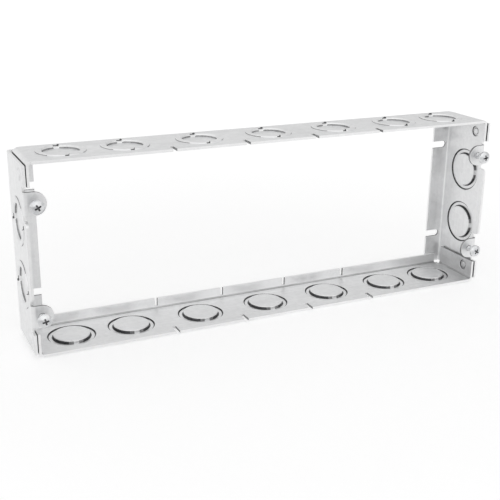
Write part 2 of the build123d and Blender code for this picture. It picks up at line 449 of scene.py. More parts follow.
def bright_zinc(name):
    """Bright zinc plating, a little cloudy, with fine marks."""
    material, tree, shader, place = metal(name)
    cloud = noise(tree, place, scale=300.0, detail=4.0)
    fine = noise(tree, place, scale=2200.0, detail=2.0)
    colour = toned(tree, cloud, (0.3, (0.62, 0.63, 0.645)), (0.7, (0.82, 0.825, 0.83)))
    roughness = weighed(tree, ZINC_ROUGHNESS, (cloud, CLOUD_ROUGHNESS))
    finish_metal(tree, shader, colour, roughness, fine, strength=0.1, depth=0.05 * MM)
    return material


side_steel = galvanized("galvanized_side", (ROLLED_ALONG, ROLLED_ACROSS, ROLLED_ACROSS), CORNER_PAINTED_SHADE)
end_steel = galvanized("galvanized_end", (ROLLED_ACROSS, ROLLED_ACROSS, ROLLED_ALONG), 0.0)
cut_edge = sheared("sheared_edge", (0.86, 0.863, 0.866), (0.97, 0.97, 0.97), 0.36)
# The torn and worn finishes stand partly for sheared steel and partly for painted shade on walls, rims and
# bands.
torn_and_shaded_wall = sheared("torn_and_shaded_wall", (0.06, 0.062, 0.065), (0.22, 0.22, 0.225), 0.5)
worn_and_shaded_wall = sheared("worn_and_shaded_wall", (0.16, 0.162, 0.166), (0.56, 0.56, 0.565), 0.42)
screw_zinc = bright_zinc("bright_zinc")
# Painted shade inside the screws' cross recesses.
painted_recess_shade = sheared("screw_recess_shade", (0.10, 0.10, 0.105), (0.30, 0.30, 0.31), 0.45)


# Pressed forms: knockouts and clinches

SKINS = ["Outer", "Inner"]
SKIN_STEPS = ["First Radius", "First Rise", "First Roll", "Second Radius", "Second Rise", "Second Roll"]
SKIN_MARKS = ["Tie Width", "Tie Break", "Bright Arc", "Shear Band"]
SKIN_WALLS = ["First Wall", "Second Wall", "Tie"]
FACE_DOWN = (math.pi, 0.0, 0.0)
FACE_RIGHT = (0.0, math.pi / 2, 0.0)
FACE_LEFT = (0.0, -math.pi / 2, 0.0)


def pressed_skin_tree():
    """One face of a round pressing, as rings of points whose height follows two steps.

    A positive roll rounds the step inside its radius, a negative one outside. On each tie, at the front and
    the back, the ring between the steps stays down, in a gap that narrows outwards.

    Each face gets the number of its wall, which picks its finish: nought for plain sheet, then first wall,
    second wall and tie from Wall Number on. Steep faces are wall, and so is a band of painted shade on the
    ring beside each step. The first wall leaves out a Bright Arc at the front and the back, so its darker
    finish, partly painted shade, lies at the sides. Within the Tie Break the second wall counts as tie, and
    its core is plain.
    """
    sizes = {label: "Float" for label in ["Collar"] + SKIN_STEPS + SKIN_MARKS + ["Wall Number"]}
    sizes["Sides"] = "Int"
    tree, given, out = new_tree("pressed_skin", sizes, with_points=False)
    first_radius, second_radius = given["First Radius"], given["Second Radius"]
    reaches = [0.0]
    for step in ("Second", "First"):
        radius, roll = given[f"{step} Radius"], given[f"{step} Roll"]
        inside = calc(tree, "MAXIMUM", roll, STEP_LEAN)
        outside = calc(tree, "MAXIMUM", calc(tree, "MULTIPLY", roll, -1.0), STEP_LEAN)
        reaches += [calc(tree, "SUBTRACT", radius, inside), calc(tree, "ADD", radius, outside)]
    reaches.append(given["Collar"])
    spokes = add_node(tree, "GeometryNodeJoinGeometry")
    for start, end, count in zip(reaches[:-1], reaches[1:], SPOKE_POINTS):
        ends = {"Count": count, "Start Location": point(tree, x=start), "Offset": point(tree, x=end)}
        line = add_node(tree, "GeometryNodeMeshLine", ends, mode="END_POINTS")
        tree.links.new(line.outputs[0], spokes.inputs[0])
    spoke = welded(tree, spokes.outputs[0], SPOKE_WELD)
    spoke = add_node(tree, "GeometryNodeMeshToCurve", {0: spoke}).outputs[0]
    spoke = stored(tree, spoke, "reach", parts(tree, position(tree))[0])
    rim_sizes = {"Resolution": given["Sides"], "Radius": 1.0}
    rim = add_node(tree, "GeometryNodeCurvePrimitiveCircle", rim_sizes).outputs[0]
    rim = stored(tree, rim, "direction", position(tree), kind="FLOAT_VECTOR")
    web = add_node(tree, "GeometryNodeCurveToMesh", {0: rim, 1: spoke}).outputs[0]
    reach = carried(tree, "reach")
    heading = parts(tree, carried(tree, "direction", kind="FLOAT_VECTOR"))

    def share_between(start, end):
        """How far each point lies from one radius to a larger one, from nought to one."""
        width = calc(tree, "SUBTRACT", end, start)
        return calc(tree, "DIVIDE", calc(tree, "SUBTRACT", reach, start), width, clamp=True)

    def step_share(radius, roll):
        """Share of a step's rise at each point: one inside its radius, none outside."""
        part = calc(tree, "DIVIDE", calc(tree, "SUBTRACT", radius, reach), roll, clamp=True)
        left = calc(tree, "SUBTRACT", 1.0, part)
        rounded = calc(tree, "SQRT", calc(tree, "SUBTRACT", 1.0, calc(tree, "MULTIPLY", left, left)))
        turned = calc(tree, "SUBTRACT", 1.0, rounded)
        return mixed(tree, calc(tree, "LESS_THAN", roll, 0.0), rounded, turned)

    between = share_between(second_radius, first_radius)
    past = share_between(first_radius, given["Collar"])
    aside = calc(tree, "ABSOLUTE", heading[0])
    half_tie = calc(tree, "DIVIDE", calc(tree, "MULTIPLY", given["Tie Width"], 0.5), second_radius)
    tie = calc(tree, "LESS_THAN", aside, half_tie)
    spread = calc(tree, "MULTIPLY", half_tie, TIE_SPREAD)
    drawn = ranged(tree, aside, half_tie, spread, TIE_NARROWING, 0.0, smooth=True)
    drawn = calc(tree, "MULTIPLY", drawn, calc(tree, "GREATER_THAN", given["Tie Width"], 0.0))
    drawn = calc(tree, "MULTIPLY", drawn, calc(tree, "SUBTRACT", between, past))
    narrowed = calc(tree, "MULTIPLY", heading[0], calc(tree, "SUBTRACT", 1.0, drawn))
    drawn_heading = point(tree, x=narrowed, y=heading[1])
    bearing = add_node(tree, "ShaderNodeVectorMath", {0: drawn_heading}, operation="NORMALIZE").outputs[0]
    flat = add_node(tree, "ShaderNodeVectorMath", {0: bearing, "Scale": reach}, operation="SCALE").outputs[0]

    first_share = step_share(first_radius, given["First Roll"])
    second_share = step_share(second_radius, given["Second Roll"])
    height = calc(tree, "MULTIPLY", given["First Rise"], first_share)
    height = calc(tree, "MULTIPLY_ADD", given["Second Rise"], second_share, height)
    both_rises = calc(tree, "ADD", given["First Rise"], given["Second Rise"])
    height = mixed(tree, tie, height, calc(tree, "MULTIPLY", both_rises, second_share))
    lift = point(tree, z=height)
    place = add_node(tree, "ShaderNodeVectorMath", {0: flat, 1: lift}, operation="ADD").outputs[0]
    skin = add_node(tree, "GeometryNodeSetPosition", {"Geometry": web, "Position": place}).outputs[0]
    skin = welded(tree, skin, SKIN_WELD)

    facing = parts(tree, add_node(tree, "GeometryNodeInputNormal").outputs[0])[2]
    second = calc(tree, "LESS_THAN", between, SECOND_REACH)
    steepest = mixed(tree, second, FIRST_STEEPNESS, SECOND_STEEPNESS)
    steep = calc(tree, "LESS_THAN", calc(tree, "ABSOLUTE", facing), steepest)
    on_ring = calc(tree, "COMPARE", between, RING_MIDDLE, RING_HALF)
    past_second = calc(tree, "SUBTRACT", reach, second_radius)
    short_of_first = calc(tree, "SUBTRACT", first_radius, reach)
    in_band = calc(tree, "LESS_THAN", calc(tree, "MINIMUM", past_second, short_of_first), given["Shear Band"])
    # Steep walls and the band beside each step take the darker finishes, partly painted shade, except within
    # the bright arc and the tie's core.
    torn = calc(tree, "MAXIMUM", steep, calc(tree, "MULTIPLY", in_band, on_ring))
    core = calc(tree, "MULTIPLY", given["Tie Break"], TIE_CORE)
    bright = mixed(tree, second, given["Bright Arc"], core)
    torn = calc(tree, "MULTIPLY", torn, calc(tree, "GREATER_THAN", aside, bright))
    in_break = calc(tree, "MULTIPLY", second, calc(tree, "LESS_THAN", aside, given["Tie Break"]))
    on_floor = calc(tree, "COMPARE", between, TIE_FLOOR_MIDDLE, TIE_FLOOR_HALF)
    on_floor = calc(tree, "MULTIPLY", tie, on_floor)
    on_tie = calc(tree, "MAXIMUM", on_floor, calc(tree, "MULTIPLY", torn, in_break))
    after_first = calc(tree, "MAXIMUM", second, calc(tree, "MULTIPLY", on_tie, 2.0))
    number = calc(tree, "ADD", given["Wall Number"], after_first)
    number = calc(tree, "MULTIPLY", calc(tree, "MAXIMUM", torn, on_tie), number)
    tree.links.new(stored(tree, skin, "wall", number, domain="FACE"), out.inputs[0])
    return tree


def pressing_tree(name, skin_tree):
    """Both skins of a round pressing on each centre.

    Its Z looks out of the ring, and its Y along the ring's depth.
    """
    walls = [f"{skin} {wall}" for skin in SKINS for wall in SKIN_WALLS]
    sizes = {label: "Float" for label in ("Collar", "Sheet")}
    sizes.update({f"{skin} {label}": "Float" for skin in SKINS for label in SKIN_STEPS + SKIN_MARKS})
    sizes.update({wall: "Material" for wall in walls})
    sizes.update({"Sides": "Int", "Turn": "Vector", "Steel": "Material"})
    tree, given, out = new_tree(name, sizes)
    both = add_node(tree, "GeometryNodeJoinGeometry")
    for number, label in enumerate(SKINS):
        first_wall = 1.0 + number * len(SKIN_WALLS)
        skin = add_node(tree, "GeometryNodeGroup", {"Wall Number": first_wall}, node_tree=skin_tree)
        for shared in ("Collar", "Sides"):
            tree.links.new(given[shared], skin.inputs[shared])
        for own in SKIN_STEPS + SKIN_MARKS:
            tree.links.new(given[f"{label} {own}"], skin.inputs[own])
        depth = calc(tree, "MULTIPLY", given["Sheet"], -float(number))
        tree.links.new(lifted(tree, skin.outputs[0], depth), both.inputs[0])
    turn = add_node(tree, "FunctionNodeEulerToRotation", {0: given["Turn"]}).outputs[0]
    pressing = real_copies(tree, given["Centres"], both.outputs[0], turn)
    pressing = coated(tree, pressing, given["Steel"])
    wall = carried(tree, "wall")
    for number, label in enumerate(walls, 1):
        chosen = calc(tree, "COMPARE", wall, float(number), NUMBER_MARGIN)
        pressing = coated(tree, pressing, given[label], chosen)
    tree.links.new(pressing, out.inputs[0])
    return tree


skin_tree = pressed_skin_tree()
knockout_tree = pressing_tree("knockout", skin_tree)
clinch_tree = pressing_tree("clinch", skin_tree)


def knockouts(centres, turn, steel):
    """Concentric knockouts: the ring pressed out, the disc pressed back in, each left on two ties."""
    values = {"Collar": KNOCKOUT_COLLAR, "Sheet": SHEET, "Sides": KNOCKOUT_SIDES}
    values.update({"Turn": turn, "Steel": steel})
    # The darker wall and tie finishes stand partly for sheared steel and partly for painted shade, and the
    # inner band beside each step is painted shade.
    outer = {"Tie Width": TIE_WIDTH, "Tie Break": 0.0, "Bright Arc": BRIGHT_ARC, "Shear Band": 0.0}
    outer.update({"First Wall": worn_and_shaded_wall, "Second Wall": worn_and_shaded_wall, "Tie": torn_and_shaded_wall})
    inner = {"Tie Width": 0.0, "Tie Break": TIE_BREAK, "Bright Arc": 0.0, "Shear Band": KNOCKOUT_SHADE_BAND}
    inner.update({"First Wall": torn_and_shaded_wall, "Second Wall": torn_and_shaded_wall, "Tie": worn_and_shaded_wall})
    discs = (KNOCKOUT_DISC - DISC_WALL, KNOCKOUT_DISC)
    rolls = (ROLLED_EDGE, -SHEARED_EDGE)
    for skin, sizes, disc, roll in zip(SKINS, (outer, inner), discs, rolls):
        sizes.update({"First Radius": KNOCKOUT_RING, "First Rise": RING_STEP, "First Roll": roll})
        sizes.update({"Second Radius": disc, "Second Rise": -DISC_TRAVEL, "Second Roll": -roll})
        values.update({f"{skin} {label}": value for label, value in sizes.items()})
    return grown_mesh(knockout_tree, centres, values)


def clinches(centres, turn, steel, outer, inner, boss, wall, band):
    """Clinch pressings. outer, inner and the boss inside each give a radius, rise and roll.

    wall finishes the inner skin's walls, partly as painted shade, and band is the width of the band of
    painted shade there.
    """
    values = {"Collar": CUP_COLLAR, "Sheet": SHEET, "Sides": SMALL_SIDES, "Turn": turn, "Steel": steel}
    flat = (boss[0], 0.0, boss[2])
    for skin, steps, finish in zip(SKINS, (outer + flat, inner + boss), (steel, wall)):
        values.update({f"{skin} {label}": size for label, size in zip(SKIN_STEPS, steps)})
        values.update({f"{skin} {label}": 0.0 for label in SKIN_MARKS})
        values.update({f"{skin} {label}": finish for label in SKIN_WALLS})
    values["Inner Shear Band"] = band
    return grown_mesh(clinch_tree, centres, values)


# Folded sheets

# Rim finishes: the bright cut edge, then the torn and the worn finish, both partly painted shade.
EDGE, TORN_AND_SHADED, WORN_AND_SHADED = 1, 2, 3


def within_bend(run):
    """Whether a run past a bend line lies within the bend, off its first and last lines."""
    return BEND_ENDS < run / BEND_LENGTH < 1 - BEND_ENDS


def arc(centre, radius, start, end, steps):
    """Points along an arc of the blank, angles in degrees."""
    angles = [math.radians(start + (end - start) * k / steps) for k in range(steps + 1)]
    return [(centre[0] + radius * math.cos(a), centre[1] + radius * math.sin(a)) for a in angles]


def round_opening(centre, radius):
    """Closed circle of the blank, with the same points as a pressing's collar."""
    return arc(centre, radius, 0, 360, KNOCKOUT_SIDES if radius > KNOCKOUT_DISC else SMALL_SIDES)[:-1]


def run_to(inwards):
    """Length of sheet past a bend line that reaches that far in from the outer face."""
    return BEND_LENGTH + inwards - OUTER_BEND


def bent(run, depth):
    """Where a point of the sheet lies past a bend line: how far forwards and how far in."""
    turn = min(max(run / OUTER_BEND, 0), math.pi / 2)
    straight = run - OUTER_BEND * turn
    forwards = (OUTER_BEND - depth) * math.sin(turn) + straight * math.cos(turn)
    inwards = OUTER_BEND - (OUTER_BEND - depth) * math.cos(turn) + straight * math.sin(turn)
    return forwards, inwards


def pierced(outline, openings, bend_lines):
    """Flat blank as points and triangles, divided along its bend lines.

    An opening is a centre and a radius.
    """
    points, edges = [], []
    for loop in [outline] + [round_opening(*opening) for opening in openings]:
        first = len(points)
        points += loop
        edges += [(first + i, first + (i + 1) % len(loop)) for i in range(len(loop))]
    for line in bend_lines:
        edges.append((len(points), len(points) + 1))
        points += line
    filled = delaunay_2d_cdt([Vector(corner) for corner in points], edges, [], 1, FILL_MARGIN)
    corners = filled[0]

    def inside(face):
        """Whether a triangle lies within one of the openings."""
        for centre, radius in openings:
            if all((corners[i] - Vector(centre)).length < radius * ROUND_MARGIN for i in face):
                return True
        return False

    return corners, [face for face in filled[2] if not inside(face)]


def folded(outline, openings, collars, bend_lines, place, painted_shading, rim_finish):
    """Folds a blank into a sheet with sheared rims. Its collars stay open for the pressings.

    The function for painted shading tells the painted light and shade on the sheet's outer and inner face at
    a
    point of the blank: painted shade above nought, painted light below it. rim_finish tells the finish of a
    rim there.
    """
    corners, faces = pierced(outline, openings + collars, bend_lines)
    bm = bmesh.new()
    rounding = bm.edges.layers.float.new("bevel_weight_edge")
    # Each point's bend value carries painted light and shade.
    bend = bm.verts.layers.float.new("bend")
    outer = [bm.verts.new(place(u, v, 0)) for u, v in corners]
    inner = [bm.verts.new(place(u, v, SHEET)) for u, v in corners]
    for number, corner in enumerate(corners):
        outer[number][bend], inner[number][bend] = painted_shading(*corner)
    uses = {}
    for face in faces:
        bm.faces.new([outer[i] for i in face])
        bm.faces.new([inner[i] for i in reversed(face)])
        for a, b in zip(face, face[1:] + face[:1]):
            uses.setdefault(frozenset((a, b)), []).append((a, b))
    for (a, b), in [use for use in uses.values() if len(use) == 1]:
        on_collar = any(
            all(abs((corners[i] - Vector(centre)).length - radius) < ON_LINE for i in (a, b))
            for centre, radius in collars
        )
        if on_collar:
            continue
        rim = bm.faces.new((outer[b], outer[a], inner[a], inner[b]))
        rim.material_index = rim_finish(*((corners[a] + corners[b]) / 2))
        for skin in (outer, inner):
            bm.edges.get((skin[a], skin[b]))[rounding] = 1.0
    return bm


def take_in(bm, mesh, finishes):
    """Adds a grown mesh to a sheet, with its finishes matched by name."""
    order = {finish.name: number for number, finish in enumerate(finishes)}
    held = [order[material.name] if material else 0 for material in mesh.materials]
    for polygon in mesh.polygons:
        polygon.material_index = held[polygon.material_index]
    bm.from_mesh(mesh)
    bpy.data.meshes.remove(mesh)


def finished(bm, name, finishes):
    """Welds a sheet, merges its flat triangles, rounds its rims and smooths its shading."""
    bmesh.ops.remove_doubles(bm, verts=bm.verts, dist=SHEET_WELD)
    bmesh.ops.recalc_face_normals(bm, faces=bm.faces)
    bmesh.ops.dissolve_limit(bm, angle_limit=FLAT_ANGLE, verts=[], edges=bm.edges, delimit={"MATERIAL"})
    rough = bpy.data.meshes.new(name)
    bm.to_mesh(rough)
    bm.free()
    for finish in finishes:
        rough.materials.append(finish)
    carrier = in_scene(name + "_rough", rough)
    rounding = carrier.modifiers.new("rounded_rims", "BEVEL")
    rounding.limit_method = "WEIGHT"
    rounding.width = EDGE_ROUND
    rounding.segments = EDGE_STEPS
    rounding.use_clamp_overlap = False
    mesh = plain_mesh(carrier)
    bpy.data.meshes.remove(rough)
    mesh.shade_smooth()
    mesh.set_sharp_from_angle(angle=SHARP_ANGLE)
    return mesh


def shown(mesh, name, node):
    """Puts a finished mesh in the scene in place of its node."""
    mesh.name = name
    piece = in_scene(name, mesh)
    evened = piece.modifiers.new("even_shading", "WEIGHTED_NORMAL")
    evened.keep_sharp = True
    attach(piece, "root")
    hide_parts(node)


def long_side_point(u, v, depth):
    """Point of the folded bottom side: u along the ring, v from the front edge over the back flange."""
    if abs(u) > FLAT_X:
        forwards, inwards = bent(abs(u) - FLAT_X, depth)
        return Vector((math.copysign(FLAT_X + forwards, u), v, BOTTOM_Z + inwards))
    forwards, inwards = bent(v - FLANGE_LINE, depth)
    return Vector((u, FLANGE_LINE + forwards, BOTTOM_Z + inwards))


def cut_into(x, edge, width, depth):
    """Corners of a slot or notch cut from an edge of the blank, from left to right."""
    half = width / 2
    return [(x - half, edge), (x - half, edge + depth), (x + half, edge + depth), (x + half, edge)]


def long_side():
    """Bottom side: panel, back flange and end tabs from one blank, with its knockouts and clinch cups."""
    flange_end = FLANGE_LINE + run_to(SIDE_FLANGE)
    tab_end = FLAT_X + run_to(TAB_LENGTH)
    flange_x = FLAT_X - FLANGE_RELIEF
    front = [(-FLAT_X, FRONT_Y)]
    back = [(-FLAT_X, FLANGE_LINE), (-flange_x, FLANGE_LINE), (-flange_x, flange_end)]
    for x in BARRIERS:
        front += cut_into(x, FRONT_Y, *BARRIER_NOTCH)
        back += cut_into(x, flange_end, BARRIER_SLOT[0], -BARRIER_SLOT[1])
    front.append((FLAT_X, FRONT_Y))
    back += [(flange_x, flange_end), (flange_x, FLANGE_LINE), (FLAT_X, FLANGE_LINE)]
    tab = [(FLAT_X, TAB_FRONT), (tab_end, TAB_FRONT), (tab_end, TAB_BACK), (FLAT_X, TAB_BACK)]
    left_tab = [(-u, v) for u, v in reversed(tab)]
    outline = front + tab + back[::-1] + left_tab
    bend_lines = [[(-flange_x, FLANGE_LINE + run), (flange_x, FLANGE_LINE + run)] for run in BEND_RUNS]
    for run in BEND_RUNS:
        for u in (-FLAT_X - run, FLAT_X + run):
            bend_lines.append([(u, TAB_FRONT), (u, TAB_BACK)])
    rows = GANG_CENTRES + [-END_KNOCKOUT, END_KNOCKOUT]
    cup_u = FLAT_X + run_to(CLINCH_RISE)
    collars = [((x, MIDDLE_Y), KNOCKOUT_COLLAR) for x in rows]
    collars += [((side * cup_u, CLINCH_Y), CUP_COLLAR) for side in (-1, 1)]

    def painted_shading(u, v):
        """Painted shade in the creases inside the bends, painted light outside them and on the back flange,
        and painted shade behind each tab.
        """
        creased = within_bend(v - FLANGE_LINE) or within_bend(abs(u) - FLAT_X)
        behind_tab = abs(u) > FLAT_X + BEND_RUNS[-2] - NEAR
        if behind_tab:
            return TAB_SHADE, CREASE_SHADE * creased
        if creased:
            return BEND_PAINTED_HIGHLIGHT, CREASE_SHADE
        return (0.0, FLANGE_PAINTED_LIGHT) if v > FLANGE_LINE + NEAR else (0.0, 0.0)

    def rim_finish(u, v):
        """The worn finish, partly painted shade, at the sides of notches and as painted shade on the right
        tab's end; the torn finish, partly painted shade, at the sides of slots; or bright.
        """
        if u > tab_end - NEAR:
            return WORN_AND_SHADED
        width, finish = (BARRIER_NOTCH[0], WORN_AND_SHADED) if v < MIDDLE_Y else (BARRIER_SLOT[0], TORN_AND_SHADED)
        return finish if any(abs(abs(u - x) - width / 2) < NEAR for x in BARRIERS) else EDGE

    bm = folded(outline, [], collars, bend_lines, long_side_point, painted_shading, rim_finish)
    finishes = [side_steel, cut_edge, torn_and_shaded_wall, worn_and_shaded_wall]
    take_in(bm, knockouts([(x, MIDDLE_Y, BOTTOM_Z) for x in rows], FACE_DOWN, side_steel), finishes)
    tab_x = FLAT_X + OUTER_BEND
    outer_cup = (CUP_OUTSIDE, TAB_GAP, CUP_OUTSIDE_ROLL)
    inner_cup = (CUP_INSIDE, CUP_DEPTH, CUP_INSIDE_ROLL)
    for side, turn in ((-1, FACE_LEFT), (1, FACE_RIGHT)):
        centre = (side * tab_x, CLINCH_Y, BOTTOM_Z + CLINCH_RISE)
        cup = clinches([centre], turn, side_steel, outer_cup, inner_cup, CUP_BOSS, torn_and_shaded_wall, CUP_SHADE_BAND)
        take_in(bm, cup, finishes)
    return finished(bm, "long_side", finishes)


def end_wall_point(u, v, depth):
    """Point of the folded right end: u from the front edge over the back flange, v its height."""
    in_ear = any(abs(v - height) < EAR_TIP + EAR_GAP / 2 for height in SCREW_HEIGHTS)
    if u < EAR_LINE and in_ear:
        forwards, inwards = bent(EAR_LINE - u, depth)
        return Vector((WALL_X - inwards, EAR_LINE - forwards, v))
    forwards, inwards = bent(u - BACK_LINE, depth)
    return Vector((WALL_X - inwards, BACK_LINE + forwards, v))


def ear_outline(height, flip):
    """Notch, ear and rounded wall corner at a screw's height, from the end of the ring towards its middle.

    flip is 1 for the lower screw and -1 for the upper one.
    """
    screw_u = EAR_LINE - run_to(SCREW_INSET)
    reach = EAR_TIP + EAR_GAP
    path = [(FRONT_Y, -reach), (EAR_LINE, -reach), (EAR_LINE, -EAR_TIP)]
    path += arc((screw_u, 0), EAR_TIP, 270, 90, EAR_STEPS)
    path += [(EAR_LINE, EAR_TIP), (EAR_LINE, reach)]
    path += arc((FRONT_Y + WALL_CORNER, reach + WALL_CORNER), WALL_CORNER, 270, 180, CORNER_STEPS)
    return [(u, height + flip * v) for u, v in path]


def end_wall():
    """Right end: wall, back flange and two ears from one blank, with its knockouts and clinch buttons."""
    flange_end = BACK_LINE + run_to(END_FLANGE)
    slot_u = BACK_LINE + run_to(SCREW_INSET)
    screw_u = EAR_LINE - run_to(SCREW_INSET)
    low, high = wall_low.z, wall_high.z
    outline = [(FRONT_Y, low), (flange_end, low)]
    for height in SCREW_HEIGHTS:
        outline += [(flange_end, height - SCREW_SLOT)]
        outline += arc((slot_u, height), SCREW_SLOT, 270, 90, SLOT_STEPS)
        outline += [(flange_end, height + SCREW_SLOT)]
    outline += [(flange_end, high), (FRONT_Y, high)]
    outline += ear_outline(SCREW_HEIGHTS[1], -1)
    outline += ear_outline(SCREW_HEIGHTS[0], 1)[::-1]
    bend_lines = [[(BACK_LINE + run, low), (BACK_LINE + run, high)] for run in BEND_RUNS]
    for height in SCREW_HEIGHTS:
        for run in BEND_RUNS:
            bend_lines.append([(EAR_LINE - run, height - EAR_TIP), (EAR_LINE - run, height + EAR_TIP)])
    holes = [((screw_u, height), SCREW_HOLE) for height in SCREW_HEIGHTS]
    knockout_heights = [MIDDLE_Z - WALL_KNOCKOUT_OFFSET, MIDDLE_Z + WALL_KNOCKOUT_OFFSET]
    clinch_heights = [BOTTOM_Z + CLINCH_RISE, 2 * MIDDLE_Z - BOTTOM_Z - CLINCH_RISE]
    collars = [((MIDDLE_Y, height), KNOCKOUT_COLLAR) for height in knockout_heights]
    collars += [((CLINCH_Y, height), CUP_COLLAR) for height in clinch_heights]

    def painted_shading(u, v):
        """A painted highlight along the back flange's bend, on both faces."""
        return END_BEND_PAINTED_HIGHLIGHT if within_bend(u - BACK_LINE) else (0.0, 0.0)

    def rim_finish(u, v):
        """The worn finish, partly painted shade, in the screw slots and round the ears; bright elsewhere."""
        in_slot = BACK_LINE < u < flange_end - NEAR and low + NEAR < v < high - NEAR
        on_ear = u < EAR_LINE - NEAR and any(abs(v - height) < EAR_TIP + NEAR for height in SCREW_HEIGHTS)
        return WORN_AND_SHADED if in_slot or on_ear else EDGE

    bm = folded(outline, holes, collars, bend_lines, end_wall_point, painted_shading, rim_finish)
    finishes = [end_steel, cut_edge, torn_and_shaded_wall, worn_and_shaded_wall]
    knockout_places = [(WALL_X, MIDDLE_Y, z) for z in knockout_heights]
    take_in(bm, knockouts(knockout_places, FACE_RIGHT, end_steel), finishes)
    button_places = [(WALL_X, CLINCH_Y, z) for z in clinch_heights]
    button = (BUTTON_RADIUS, BUTTON_HEIGHT, BUTTON_ROLL)
    buttons = clinches(button_places, FACE_RIGHT, end_steel, button, BUTTON_BACK, NO_BOSS, end_steel, 0.0)
    take_in(bm, buttons, finishes)
    return finished(bm, "end_wall", finishes)


def turned_over(mesh):
    """The same sheet turned half round, as the ring uses each one twice."""
    middle = Vector((0, 0, MIDDLE_Z))
    half_turn = Matrix.Rotation(math.pi, 4, "Y")
    copy = mesh.copy()
    copy.transform(Matrix.Translation(middle) @ half_turn @ Matrix.Translation(-middle))
    return copy


side_mesh = long_side()
wall_mesh = end_wall()
shown(turned_over(side_mesh), "top_side_sheet", "top_side")
shown(side_mesh, "bottom_side_sheet", "bottom_side")
shown(turned_over(wall_mesh), "left_end_sheet", "left_end")
shown(wall_mesh, "right_end_sheet", "right_end")


# Cover screws

def cover_screw_tree():
    """Pan-head machine screw with a cross recess and a rolled thread, on each centre, head forwards."""
    labels = ["Head Radius", "Head Rim", "Head Crown", "Shank Radius", "Shank Length"]
    labels += ["Thread Pitch", "Thread Depth", "Recess Length", "Recess Width", "Recess Depth"]
    sizes = {label: "Float" for label in labels}
    sizes.update({"Plating": "Material", "Recess": "Material"})
    tree, given, out = new_tree("cover_screw", sizes)

    head_sizes = {"Vertices": HEAD_SIDES, "Side Segments": RIM_ROWS, "Fill Segments": CROWN_ROWS}
    head_sizes.update({"Radius": given["Head Radius"], "Depth": given["Head Rim"]})
    blank = add_node(tree, "GeometryNodeMeshCylinder", head_sizes, fill_type="TRIANGLE_FAN").outputs
    raised = lifted(tree, blank["Mesh"], calc(tree, "MULTIPLY", given["Head Rim"], 0.5))
    spot = parts(tree, position(tree))
    far = weighed(tree, 0.0, (spot[0], spot[0]), (spot[1], spot[1]))
    share = calc(tree, "DIVIDE", far, calc(tree, "MULTIPLY", given["Head Radius"], given["Head Radius"]))
    fall = calc(tree, "SUBTRACT", 1.0, calc(tree, "POWER", share, CROWN_POWER))
    dome = point(tree, z=calc(tree, "MULTIPLY", given["Head Crown"], fall))
    domed = {"Geometry": raised, "Selection": blank["Top"], "Offset": dome}
    head = add_node(tree, "GeometryNodeSetPosition", domed).outputs[0]

    wings = add_node(tree, "GeometryNodeJoinGeometry")
    wing_height = calc(tree, "MULTIPLY", given["Recess Depth"], 2.0)
    for x, y in (("Recess Length", "Recess Width"), ("Recess Width", "Recess Length")):
        wing_size = point(tree, given[x], given[y], wing_height)
        wing = add_node(tree, "GeometryNodeMeshCube", {"Size": wing_size}).outputs[0]
        tree.links.new(wing, wings.inputs[0])
    spot = parts(tree, position(tree))
    tip = calc(tree, "MULTIPLY", given["Recess Depth"], -1.0)
    taper = ranged(tree, spot[2], tip, 0.0, RECESS_TAPER, 1.0)
    narrowed = [calc(tree, "MULTIPLY", across, taper) for across in (spot[0], spot[1])]
    tapered = {"Geometry": wings.outputs[0], "Position": point(tree, *narrowed, spot[2])}
    bit = add_node(tree, "GeometryNodeSetPosition", tapered).outputs[0]
    bit = lifted(tree, bit, calc(tree, "ADD", given["Head Rim"], given["Head Crown"]))
    bit = stored(tree, bit, "recess", 1.0, domain="FACE")
    driven = add_node(
        tree,
        "GeometryNodeMeshBoolean",
        {0: head, 1: bit, "Self Intersection": True},
        operation="DIFFERENCE",
        solver="EXACT",
    ).outputs[0]

    core_radius = calc(tree, "SUBTRACT", given["Shank Radius"], given["Thread Depth"])
    core_sizes = {"Vertices": CORE_SIDES, "Radius": core_radius, "Depth": given["Shank Length"]}
    core = add_node(tree, "GeometryNodeMeshCylinder", core_sizes).outputs[0]
    core = lifted(tree, core, calc(tree, "MULTIPLY", given["Shank Length"], -0.5))
    run = calc(tree, "SUBTRACT", given["Shank Length"], given["Thread Pitch"])
    helix_sizes = {"Resolution": THREAD_STEPS, "Rotations": calc(tree, "DIVIDE", run, given["Thread Pitch"])}
    helix_sizes.update({"Start Radius": core_radius, "End Radius": core_radius, "Height": run})
    helix = add_node(tree, "GeometryNodeCurveSpiral", helix_sizes).outputs[0]
    ridge_sizes = {"Resolution": RIDGE_SIDES, "Radius": given["Thread Depth"]}
    ridge = add_node(tree, "GeometryNodeCurvePrimitiveCircle", ridge_sizes).outputs[0]
    thread = add_node(tree, "GeometryNodeCurveToMesh", {0: helix, 1: ridge, "Fill Caps": True}).outputs[0]
    half_pitch = calc(tree, "MULTIPLY", given["Thread Pitch"], 0.5)
    thread = lifted(tree, thread, calc(tree, "SUBTRACT", half_pitch, given["Shank Length"]))

    whole = add_node(tree, "GeometryNodeJoinGeometry")
    for piece in (driven, core, thread):
        tree.links.new(piece, whole.inputs[0])
    own_turn = point(tree, z=carried(tree, "turn"))
    own_turn = add_node(tree, "FunctionNodeEulerToRotation", {0: own_turn}).outputs[0]
    forwards = add_node(tree, "FunctionNodeEulerToRotation", {0: (math.pi / 2, 0.0, 0.0)}).outputs[0]
    turns = {0: forwards, 1: own_turn}
    turn = add_node(tree, "FunctionNodeRotateRotation", turns, rotation_space="LOCAL").outputs[0]
    screws = real_copies(tree, given["Centres"], whole.outputs[0], turn)
    screws = coated(tree, screws, given["Plating"])
    # The cross recess is given the painted shade finish.
    in_recess = calc(tree, "GREATER_THAN", carried(tree, "recess"), 0.5)
    screws = coated(tree, screws, given["Recess"], in_recess)
    tree.links.new(screws, out.inputs[0])
    return tree


